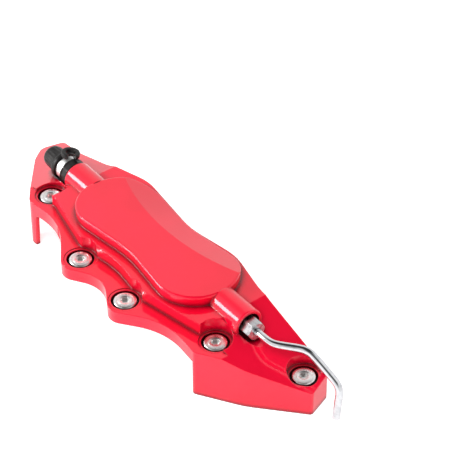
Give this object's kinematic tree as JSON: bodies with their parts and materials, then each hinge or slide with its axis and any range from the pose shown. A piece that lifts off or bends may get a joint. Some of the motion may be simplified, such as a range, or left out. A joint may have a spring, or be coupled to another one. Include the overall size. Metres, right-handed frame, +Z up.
{
  "type": "brake caliper cover",
  "caption": "Red lacquered cast cover for a brake caliper, with cap screws, a capped bleeder, a flare nut with bent pipe, and slotted mounting brackets underneath.",
  "frame": {"origin": "under the middle of the whole part, on the surface that it stands on", "axes": "+X along the boss axis towards the brake pipe, -Y towards the screw side, +Z up"},
  "size_m": [0.3061, 0.0832, 0.0535],
  "materials": {
    "red_lacquer": "gloss candy red lacquer over cast aluminium",
    "bright_steel": "bright plated steel",
    "chrome_pipe": "bright chrome",
    "zinc_plate": "satin zinc plate",
    "black_rubber": "matt black rubber"
  },
  "bodies": {
    "cover": {"cover_shell": "red_lacquer", "cap_screw_1": "bright_steel", "cap_screw_2": "bright_steel", "cap_screw_3": "bright_steel", "cap_screw_4": "bright_steel", "cap_screw_5": "bright_steel", "cap_screw_6": "bright_steel", "screw_washer_1": "black_rubber", "screw_washer_2": "black_rubber", "screw_washer_3": "black_rubber", "screw_washer_4": "black_rubber", "screw_washer_5": "black_rubber", "screw_washer_6": "black_rubber", "cap_retaining_ring": "black_rubber", "cap_strap": "black_rubber"},
    "bleeder": {"bleeder_screw": "bright_steel"},
    "cap": {"bleeder_cap": "black_rubber"},
    "nut": {"flare_nut": "zinc_plate"},
    "pipe": {"brake_pipe": "chrome_pipe"},
    "bolt_left": {"bracket_bolt_left": "zinc_plate", "bracket_washer_left": "zinc_plate"},
    "bracket_left": {"bracket_left": "zinc_plate", "bracket_pad_left": "black_rubber"},
    "bolt_right": {"bracket_bolt_right": "zinc_plate", "bracket_washer_right": "zinc_plate"},
    "bracket_right": {"bracket_right": "zinc_plate", "bracket_pad_right": "black_rubber"}
  },
  "joints": [
    {"name": "bleeder_turn", "type": "hinge", "parent": "cover", "child": "bleeder", "pos_m": [-0.0896, 0.01125, 0.0395], "axis": [-1, 0, 0], "range_deg": [0, 90]},
    {"name": "cap_pull", "type": "slide", "parent": "cover", "child": "cap", "axis": [-1, 0, 0], "range_m": [0, 0.012], "deforming": ["cap_strap"]},
    {"name": "nut_turn", "type": "hinge", "parent": "cover", "child": "nut", "pos_m": [0.0879, 0.01125, 0.0395], "axis": [1, 0, 0], "continuous": true},
    {"name": "pipe_swivel", "type": "hinge", "parent": "cover", "child": "pipe", "pos_m": [0.0944, 0.01125, 0.0395], "axis": [1, 0, 0], "range_deg": [-5, 20]},
    {"name": "bracket_left_swivel", "type": "hinge", "parent": "cover", "child": "bolt_left", "pos_m": [-0.0356, 0.00855, 0.025], "axis": [0, 0, 1], "range_deg": [-10, 10]},
    {"name": "bracket_left_slide", "type": "slide", "parent": "bolt_left", "child": "bracket_left", "axis": [1, 0, 0], "range_m": [-0.006, 0.006]},
    {"name": "bracket_right_swivel", "type": "hinge", "parent": "cover", "child": "bolt_right", "pos_m": [0.0324, 0.00855, 0.025], "axis": [0, 0, 1], "range_deg": [-10, 10]},
    {"name": "bracket_right_slide", "type": "slide", "parent": "bolt_right", "child": "bracket_right", "axis": [1, 0, 0], "range_m": [-0.006, 0.006]}
  ]
}
